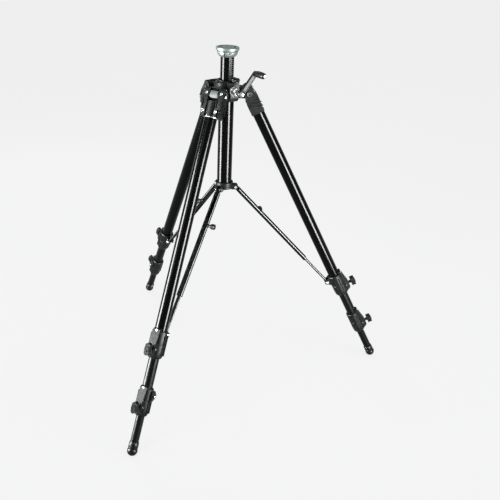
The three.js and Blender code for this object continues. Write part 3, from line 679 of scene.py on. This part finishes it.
def brace_channel(side, place):
    """The U-shaped arm that hangs on the hub, with a painted highlight, a light strip, along its edge on
    both sides.
    """
    node = f"brace_channel_{side}"
    low, high = local_box(node, place)
    half, deep, wall = high.y, high.z, 1.5
    knob_x = local_point(f"brace_knob_turn_{side}", place).x
    section = [(-half, deep), (-half, -deep), (half, -deep), (half, deep), (half - wall, deep),
               (half - wall, -deep + wall), (-half + wall, -deep + wall), (-half + wall, deep)]
    bar = turned(turned(prism(section, 20, high.x), "Z", 90), "Y", 90)
    web = block((9, -half, -deep), (21, half, deep))
    tongue = upright(prism(rounded((low.x, -deep), (20, deep), deep - 0.2), -3.4, 3.4))
    slot_low = block((112, -2.2, -deep - 1), (high.x - 22, 2.2, -deep + wall + 1))
    lock_hole = along_y(rod(PIN_RADIUS + CLEARANCE, half - 3, half + 3, 20), (knob_x, 0, 0))
    shape = carved(bar, joined=[web, tongue], removed=[pin_hole(), slot_low, lock_hole])
    piece(f"{node}_pressing", shape, place, node, "black_paint", bevel=0.45,
          stands_for=[node])
    for k, sign in enumerate((-1, 1)):
        # painted highlight: a light strip along each top edge of the channel, standing in for its
        # reflection
        painted_highlight_strip = along_x(rod(1.1, 12, high.x - 2, 20), (0, sign * (half - 0.5), deep - 3))
        piece(f"brace_bead_{side}_{k}", painted_highlight_strip, place, node, "painted_highlight_line")
    for k, x in enumerate((34, high.x - 10)):
        rivet = lathe(((0, 0), (2.4, 0), (2.0, 0.9), (1.1, 1.4), (0, 1.5)), 24)
        turned(rivet, "X", 90, (x, -half, -1.6))
        piece(f"brace_rivet_{side}_{k}", rivet, place, node, "black_paint")


def brace_rod(side, place):
    """The flat bar that slides in the channel and is pinned to the upper clamp."""
    node = f"brace_rod_{side}"
    low = local_box(node, place)[0]
    end = local_point(f"brace_rod_fold_{side}", place)
    deep = 2.8
    outline = [(low.x, -deep), (end.x - 4, -deep)] + arc((end.x, 0), 4.6, -140, 140, 14)
    outline += [(end.x - 4, deep), (low.x, deep)]
    shape = carved(upright(prism(outline, -4, 4)), removed=[pin_hole(end.x)])
    piece(f"{node}_bar", shape, place, node, "black_paint", bevel=0.9,
          stands_for=[node])
    for k, sign in enumerate((-1, 1)):
        # painted highlight: a light strip along each side of the rod, standing in for its reflection
        line = along_x(rod(0.9, low.x + 2, end.x - 6, 20), (0, sign * 3.4, 0.9))
        piece(f"brace_line_{side}_{k}", line, place, node, "painted_highlight_line")


def brace_knob(side, place):
    node = f"brace_knob_{side}"
    low, high = local_box(node, place)
    knob_x = local_point(f"brace_knob_turn_{side}", place).x
    seat = local_box(f"brace_channel_{side}", place)[1].y + CLEARANCE
    knob = wing_knob(high.z - low.z, 10, high.y - seat - 1.6, 2)
    turned(knob, "Z", 90, (knob_x, seat, 0))
    piece(f"{node}_moulding", knob, place, node, "plastic", bevel=0.8, stands_for=[node])


# ---- hub, guide tube and body ----

def tube_radius(node):
    """Outer radius of a CAD tube on the column's axis."""
    low, high = local_box(node, COLUMN)
    return (high.y - low.y) / 2


def hub_ears(azimuth, reach, z):
    """Two ears around a brace's tongue."""
    ears = []
    for sign in (-1, 1):
        near, far = beside(sign, 3.8, 7.6)
        outline = [(18, z - 6.5)] + arc((reach, z), 6.5, -90, 90, 10) + [(18, z + 6.5)]
        ears.append(turned(upright(prism(outline, -far, -near)), "Z", azimuth))
    return ears


def brace_hub():
    """The ring at the foot of the guide tube, with ears and a pin for every brace."""
    top = local_box("brace_hub", COLUMN)[1].z
    bottom = local_point("brace_channel_fold_right", COLUMN).z - 3
    radius, inner = HUB_RADIUS, tube_radius("guide_tube") + CLEARANCE
    ring = lathe(((inner, bottom + 0.4), (inner + 0.4, bottom), (radius - 1.5, bottom),
                  (radius, bottom + 1.5), (radius, bottom + 6), (radius - 1, bottom + 7),
                  (radius - 1, top - 5.5), (radius, top - 4.5), (radius, top - 1.5),
                  (radius - 1.5, top), (inner + 0.4, top), (inner, top - 0.4)), 96, closed=True)
    ears, room, pins = [], [], []
    for side in SIDES:
        pivot = local_point(f"brace_channel_fold_{side}", COLUMN)
        azimuth, reach = bearing(pivot)
        at = (reach, 0, pivot.z)
        room.append(turned(along_y(rod(7, -3.8, 3.8, 32), at), "Z", azimuth))
        ears += hub_ears(azimuth, reach, pivot.z)
        pin = lathe(((0, -9.2), (3.4, -9.2), (3.4, -7.7), (PIN_RADIUS, -7.7), (PIN_RADIUS, 7.7),
                     (3.4, 7.7), (3.4, 9.2), (0, 9.2)), 28)
        pins.append(turned(along_y(pin, at), "Z", azimuth))
    piece("brace_hub_casting", carved(carved(ring, removed=room), joined=ears), COLUMN, "chassis",
          "casting", bevel=0.5, stands_for=["brace_hub"])
    for side, pin in zip(SIDES, pins):
        piece(f"hub_pin_{side}", pin, COLUMN, "chassis", "steel")


def guide_tube():
    """The fixed tube around the column, with a window for the pinion."""
    low, high = local_box("guide_tube", COLUMN)
    outer = tube_radius("guide_tube")
    wall = hollow(outer, outer - GUIDE_WALL, low.z, high.z)
    worm = (COLUMN.inverted() @ DRIVE.translation) / MM
    window = block((5, worm.y - 7, worm.z - 27), (31, 5, worm.z + 7))
    piece("guide_tube_shell", carved(wall, removed=[window]), COLUMN, "chassis", "black_tube",
          stands_for=["guide_tube"])


def body_lug(side):
    """A hinge lug of the body, and the hole for its bolt."""
    hinge = local_point(f"leg_fold_{side}", COLUMN)
    azimuth, reach = bearing(hinge)
    outline = [(12, hinge.z - 13.5)] + arc((reach, hinge.z), 13.5, -90, 90, 14)
    outline += [(12, hinge.z + 13.5)]
    lug = upright(prism(outline, -HINGE_LUG_HALF, HINGE_LUG_HALF))
    return turned(lug, "Z", azimuth), turned(hinge_hole(reach, hinge.z), "Z", azimuth)


def body_casting():
    """The barrel with its hinge lugs and the boss of the drive, and a collar on top."""
    low, high = local_box("body", COLUMN)
    bottom, top, radius = low.z + 2.2, high.z, BODY_RADIUS
    barrel = lathe(((0, bottom), (radius - 6, bottom), (radius - 5, bottom + 0.5), (radius, bottom + 8),
                    (radius, bottom + 16), (radius - 1.2, bottom + 17.2), (radius - 1.2, top - 12),
                    (radius, top - 10.8), (radius, top - 4), (radius - 3, top), (0, top)), 96)
    lugs, holes = zip(*(body_lug(side) for side in SIDES))
    guide_room = tube_radius("guide_tube") + CLEARANCE
    bore = rod(guide_room, low.z - 5, top + 5, 96)
    worm = (COLUMN.inverted() @ DRIVE.translation) / MM
    worm_room = along_x(rod(6.4, 10, 60, 28), (0, worm.y, worm.z))
    pinion = local_box("pinion_shaft", COLUMN)
    gear = (pinion[0] + pinion[1]) / 2
    gear_room = along_y(rod(12.7, worm.y - 3.8, 4.4, 40), (gear.x, 0, gear.z))
    boss = block((10, -13.6, gear.z), (gear.x + 14, 10, top))
    boss_end = along_y(rod(gear.z - low.z, -13.6, 10, 64), (gear.x, 0, gear.z))
    lock = local_point("column_lock_turn", COLUMN)
    lock_room = turned(along_x(rod(KNOB_HOLE, 0, 60, 24), (0, 0, lock.z)), "Z", bearing(lock)[0])
    shape = carved(barrel, joined=[*lugs, boss, boss_end],
                   removed=[bore, worm_room, gear_room, lock_room, *holes])
    piece("body_casting", shape, COLUMN, "chassis", "casting", bevel=0.8, stands_for=["body"])
    collar = hollow(radius - 4, guide_room, top + 0.05, top + 1.8, 0.4)
    piece("body_collar", collar, COLUMN, "chassis", "plastic")


# ---- column and platform ----

def rack_bar(top):
    """The rack, drawn up to the plate; it has the tooth pitch of the CAD rack."""
    low, high = local_box("rack", COLUMN)
    pitch, tip, root = math.pi * GEAR_MODULE, high.x, high.x - 2.85
    teeth = [(low.x, low.z), (root, low.z)]
    for k in range(int((top - low.z) / pitch)):
        z = low.z + pitch * (k + 0.5)
        teeth += [(root, z - 0.33 * pitch), (tip, z - 0.12 * pitch), (tip, z + 0.12 * pitch),
                  (root, z + 0.33 * pitch)]
    teeth += [(root, top), (low.x, top)]
    piece("rack_bar", upright(prism(teeth, low.y, high.y)), COLUMN, "column", "rack_steel",
          stands_for=["rack"])


def column():
    """The sliding tube with its rack and end cap."""
    low, high = local_box("column", COLUMN)
    outer = tube_radius("column")
    rack_top = local_box("top_plate", COLUMN)[0].z - 0.5
    rack_low, rack_high = local_box("rack", COLUMN)
    groove = block((rack_low.x - CLEARANCE, rack_low.y - CLEARANCE, rack_low.z - CLEARANCE),
                   (30, rack_high.y + CLEARANCE, rack_top + 0.2))
    rack_bar(rack_top)
    wall = hollow(outer, outer - COLUMN_WALL, low.z, high.z)
    piece("column_shell", carved(wall, removed=[groove]), COLUMN, "column", "black_tube",
          stands_for=["column"])
    bottom, plug = low.z, outer - COLUMN_WALL - CLEARANCE
    cap = lathe(((0, bottom - 3), (outer - 2, bottom - 3), (outer - 0.4, bottom - 2.2),
                 (outer, bottom - 1), (outer, bottom - CLEARANCE), (plug, bottom - CLEARANCE),
                 (plug, bottom + 9), (0, bottom + 9)), 72)
    piece("column_cap_moulding", cap, COLUMN, "column", "plastic", stands_for=["column_cap"])


def platform():
    low, high = local_box("top_plate", COLUMN)
    neck, top, radius = low.z, high.z, (high.x - low.x) / 2
    casting = lathe(((0, neck), (17.8, neck), (18.4, neck + 0.4), (radius - 6.4, neck + 3),
                     (radius - 4.4, neck + 6), (radius - 3.3, neck + 9.6), (radius - 2.8, top - 9.2),
                     (radius - 4.8, top - 8.8), (radius - 4.8, top - 7.4), (radius - 0.8, top - 7.2),
                     (radius, top - 6.6), (radius, top - 1.4), (radius - 1.3, top - 0.2),
                     (radius - 2.4, top), (20.5, top), (20.2, top - 0.7), (16.6, top - 0.7),
                     (16.3, top), (0, top)), 128)
    socket = rod(tube_radius("column") + CLEARANCE, neck - 2, neck + PLATE_SOCKET_DEPTH, 72)
    stud_hole = rod(5, neck, top + 2, 40)
    facing, screw_circle = -24, 11.5
    slit = turned(block((17.4, -1.5, neck + 1), (30, 1.5, top - 9.4)), "Z", facing - 26)
    facet = turned(block((radius - 5, -6, neck + 2), (40, 6, top - 9)), "Z", facing)
    grub = turned(along_x(rod(2.6, 15, 40, 24), (0, 0, neck + 9)), "Z", facing)
    screw_places = []
    for k in range(3):
        turn = math.radians(120 * k + 20)
        screw_places.append((screw_circle * math.cos(turn), screw_circle * math.sin(turn)))
    screw_holes = [shifted(rod(2.2, top - 3, top + 2, 20), (x, y, 0)) for x, y in screw_places]
    shape = carved(casting, removed=[socket, stud_hole, slit, facet, grub, *screw_holes])
    piece("top_plate_casting", shape, COLUMN, "column", "silver", bevel=0.35, stands_for=["top_plate"])
    screw = turned(along_x(socket_screw(2.4, 3), (17, 0, neck + 9)), "Z", facing)
    piece("platform_grub_screw", screw, COLUMN, "column", "steel")
    for k, (x, y) in enumerate(screw_places):
        screw = shifted(socket_screw(2, 2.2), (x, y, top - 2.6))
        piece(f"platform_set_screw_{k}", screw, COLUMN, "column", "steel")
    ring = hollow(20.1, 16.7, top - 0.68, top - 0.1, 0.15)
    piece("platform_pad", ring, COLUMN, "column", "rubber")
    shadow_ring = hollow(radius - 3.4, radius - 5.2, top - 8.6, top - 7.5, 0.15)
    piece("platform_shadow_ring", shadow_ring, COLUMN, "column", "rubber")


def camera_stud():
    """The plate's 3/8 inch thread, drawn as rings of the right pitch."""
    low, high = local_box("camera_stud", COLUMN)
    pitch, crest, root = 1.588, 4.7, 3.9
    profile = [(0, low.z), (root, low.z)]
    z = low.z + 0.4
    while z + pitch < high.z - 0.5:
        profile += [(crest, z + pitch * 0.45), (crest, z + pitch * 0.55), (root, z + pitch)]
        z += pitch
    profile += [(root, high.z - 0.3), (root - 0.6, high.z), (0, high.z)]
    piece("camera_stud_threaded", lathe(profile, 48), COLUMN, "column", "steel",
          stands_for=["camera_stud"])


# ---- drive, crank and body knobs ----

def gear_housing():
    low, high = local_box("gear_housing", DRIVE)
    start, end, radius = low.x, high.x, (high.y - low.y) / 2
    bore = SHAFT_RADIUS + CLEARANCE
    shell = lathe(((bore, start), (radius - 0.5, start), (radius, start + 0.5), (radius, start + 4),
                   (radius - 1.6, start + 5), (radius - 1.6, end - 6), (radius - 2.6, end - 2),
                   (radius - 4.6, end), (bore, end)), 72, closed=True)
    piece("gear_housing_casting", along_x(shell), DRIVE, "chassis", "steel", bevel=0.3,
          stands_for=["gear_housing"])
    for k in range(4):
        turn = math.radians(45 + 90 * k)
        at = (start + 3.6, (radius - 1.9) * math.cos(turn), (radius - 1.9) * math.sin(turn))
        piece(f"housing_screw_{k}", along_x(socket_screw(1.5, 1.8, 18), at), DRIVE, "chassis", "steel")


def crank_prism(outline, low, high):
    """An outline in the plane of the crank arm, as thick along X as low and high say."""
    return along_x(turned(prism(outline, low, high), "Z", 90))


def crank_arm():
    low, high = local_box("crank_arm", CRANK)
    plane = low.x
    length = local_point("grip_spin", CRANK).z
    shaft_room = SHAFT_RADIUS + CLEARANCE
    boss = along_x(lathe(((shaft_room, plane), (8.5, plane), (9, plane + 0.5), (9, plane + 7),
                          (7.5, plane + 9.6), (6.5, plane + 10), (0, plane + 10), (0, plane + 6.5),
                          (shaft_room, plane + 6.5)), 48))
    outline = [(-5.5, 0)] + arc((0, length), 5.5, 180, 0, 12) + [(5.5, 0)]
    bar = crank_prism(outline, plane + 3, plane + 9)
    trough = crank_prism(rounded((-3.4, 11), (3.4, length - 7), 3), plane + 7.2, plane + 12)
    bore = along_x(rod(shaft_room, plane - 1, plane + 6.5, 40))
    pin = along_x(rod(GRIP_PIN_RADIUS, plane + 8, high.x, 28), (0, 0, length))
    shape = carved(bar, joined=[boss, pin], removed=[trough, bore])
    piece("crank_arm_forging", shape, CRANK, "crank", "casting", bevel=0.5, stands_for=["crank_arm"])
    inlay = crank_prism(rounded((-2.9, 11.5), (2.9, length - 7.5), 2.6), plane + 7.1, plane + 8.3)
    step = 4.6
    dimples = [along_x(rod(1.2, plane + 6, plane + 12, 16), (0, 0, 15.5 + step * k))
               for k in range(int((length - 24) / step))]
    piece("crank_arm_inlay", carved(inlay, removed=dimples), CRANK, "crank", "rack_steel", bevel=0.15)
    screw = along_x(socket_screw(3.4, 2.4), (plane + 10, 0, 0))
    piece("crank_screw", screw, CRANK, "crank", "steel")


def crank_grip():
    low, high = local_box("crank_grip", CRANK)
    start, end, radius, bore = low.x, high.x, 7.0, GRIP_PIN_RADIUS + CLEARANCE
    length = local_point("grip_spin", CRANK).z
    profile = [(bore, start), (radius - 1.6, start), (radius - 0.3, start + 1.6)]
    steps = 10
    for i in range(steps + 1):
        x = start + 3 + (end - start - 8) * i / steps
        profile.append((radius + 0.6 * math.sin(math.pi * i / steps), x))
    profile += [(radius - 0.4, end - 3), (radius - 1.8, end - 1.4), (bore, end - 1.4)]
    handle = along_x(lathe(profile, 56, closed=True), (0, 0, length))
    piece("crank_grip_moulding", handle, CRANK, "crank_grip", "plastic", stands_for=["crank_grip"])
    cap = lathe(((0, end - 1.3), (5, end - 1.3), (5, end - 0.5), (4.2, end), (3.2, end - 0.3),
                 (0, end - 0.3)), 40)
    piece("grip_cap", along_x(cap, (0, 0, length)), CRANK, "crank_grip", "plastic")
    screw = along_x(socket_screw(3.2, 1.2), (end - 0.6, 0, length))
    piece("grip_screw", screw, CRANK, "crank_grip", "steel")


def column_lock():
    place = basis(joint_point("column_lock_turn"), joint_axis("column_lock_turn"), (0, 0, 1))
    low, high = local_box("column_lock_knob", place)
    start = -2.7
    knob = wing_knob(high.z - low.z, 3, high.x - start - 1.6, start - low.x)
    piece("column_lock_moulding", shifted(knob, (start, 0, 0)), place, "column_lock", "plastic",
          bevel=1.0, stands_for=["column_lock_knob"])
    seat = along_x(hollow(9, KNOB_HOLE, start + 0.1, start + 3, 0.5, 48))
    piece("column_lock_washer", seat, place, "column_lock", "plate_grey")


def friction_knob():
    place = Matrix.Translation(joint_point("friction_turn"))
    low, high = local_box("friction_knob", place)
    radius = high.x
    knurled = prism(lobed(radius - 0.9, radius, 22, 1, 264), low.z + 2.4, high.z - 2)
    core = lathe(((0, low.z), (radius - 1.4, low.z), (radius - 1.2, low.z + 2.6),
                  (radius - 1.2, high.z - 1.6), (radius - 2.4, high.z - 0.4), (radius - 4, high.z),
                  (0, high.z)), 56)
    piece("friction_knob_moulding", carved(knurled, joined=[core]), place, "friction_knob", "plastic",
          bevel=0.2, stands_for=["friction_knob"])


def carried_nodes():
    """The hidden gear pieces keep their CAD shape, with a better finish."""
    for node, look in (("pinion_shaft", "brass"), ("worm_shaft", "steel")):
        made = frame["nodes"][node]
        made.data.materials.clear()
        made.data.materials.append(MATERIALS[look])


# ---- studio ----

def camera():
    """At the angle of the reference view: from the front, a little to the left, looking down."""
    position = COLUMN.translation + Vector((-90.5, -1578, 1142)) * MM
    yaw, pitch, tilt = math.radians(5.96), math.radians(26.6), math.radians(2.66)
    ahead = Vector((math.sin(yaw) * math.cos(pitch), math.cos(yaw) * math.cos(pitch), -math.sin(pitch)))
    right = Vector((math.cos(yaw), -math.sin(yaw), 0))
    up = right.cross(ahead)
    x = math.cos(tilt) * right + math.sin(tilt) * up
    y = math.cos(tilt) * up - math.sin(tilt) * right
    lens = bpy.data.cameras.new("camera")
    lens.lens, lens.sensor_width = 47.41, 36
    eye = bpy.data.objects.new("camera", lens)
    eye.matrix_world = Matrix.Translation(position) @ Matrix((x, y, -ahead)).transposed().to_4x4()
    bpy.context.scene.collection.objects.link(eye)
    bpy.context.scene.camera = eye


def softbox(name, position, target, width, height, power, streak=False):
    """A rectangular studio light, in metres and watts; a streak light shows only in reflections."""
    light = bpy.data.lights.new(name, "AREA")
    light.shape, light.size, light.size_y = "RECTANGLE", width, height
    light.energy = power
    lamp = bpy.data.objects.new(name, light)
    lamp.location = position
    lamp.rotation_euler = (Vector(target) - Vector(position)).to_track_quat("-Z", "Y").to_euler()
    lamp.visible_camera = False
    lamp.visible_diffuse = not streak
    bpy.context.scene.collection.objects.link(lamp)


def studio():
    scene = bpy.context.scene
    scene.view_settings.view_transform = "Standard"
    world = bpy.data.worlds.new("studio")
    world.use_nodes = True
    world.node_tree.nodes["Background"].inputs["Color"].default_value = (0.9, 0.92, 0.92, 1)
    world.node_tree.nodes["Background"].inputs["Strength"].default_value = 0.45
    scene.world = world
    softbox("left_streak", (-1.32, -0.36, 0.5), (-0.15, -0.05, 0.5), 0.46, 1.3, 300, streak=True)
    softbox("right_streak", (0.92, -1.0, 0.42), (0.0, -0.05, 0.42), 0.44, 1.1, 250, streak=True)
    softbox("key", (-1.6, -1.5, 1.7), (-0.1, 0, 0.45), 0.9, 1.4, 14)
    softbox("fill", (1.6, -1.2, 1.5), (0.0, 0, 0.45), 0.9, 1.4, 9)
    softbox("overhead", (0.2, -0.3, 2.4), (0, 0, 0.4), 1.2, 1.2, 9)
    softbox("back", (-0.9, 1.6, 1.6), (0, 0, 0.4), 0.6, 1.6, 8)
    paper_floor()


def paper_floor():
    """The pale floor, just below the feet, lit a little from itself like a white sweep."""
    ground = bmesh.new()
    bmesh.ops.create_grid(ground, x_segments=4, y_segments=4, size=30)
    data = bpy.data.meshes.new("floor")
    ground.to_mesh(data)
    ground.free()
    floor = bpy.data.objects.new("floor", data)
    bpy.context.scene.collection.objects.link(floor)
    finish("floor_paper", ((0.115, 0.118, 0.118), (0.125, 0.127, 0.127)), (0.85, 0.95), spots=1.5,
           grain=220, bump=0.02, depth=0.0005, specular=0.0)
    shader = MATERIALS["floor_paper"].node_tree.nodes["Principled BSDF"]
    shader.inputs["Emission Color"].default_value = (1, 1, 1, 1)
    shader.inputs["Emission Strength"].default_value = 0.81
    data.materials.append(MATERIALS["floor_paper"])
    floor.location.z = CAD_BOX[0].z - 0.0005


# ---- the whole tripod ----

make_materials()
camera()
studio()
for side in SIDES:
    leg = leg_place(side)
    tubes(side, leg)
    leg_fork(side, leg)
    hinge_bolt(side, leg)
    clamp(side, leg, "upper", f"leg_{side}")
    clamp(side, leg, "lower", f"leg_middle_{side}")
    clamp_knob(side, leg, "upper")
    clamp_knob(side, leg, "lower")
    foot(side, leg)
    brace_pin(side, leg)
    arm = brace_place(side)
    brace_channel(side, arm)
    brace_rod(side, arm)
    brace_knob(side, arm)
brace_hub()
guide_tube()
body_casting()
column()
platform()
camera_stud()
gear_housing()
crank_arm()
crank_grip()
column_lock()
friction_knob()
carried_nodes()
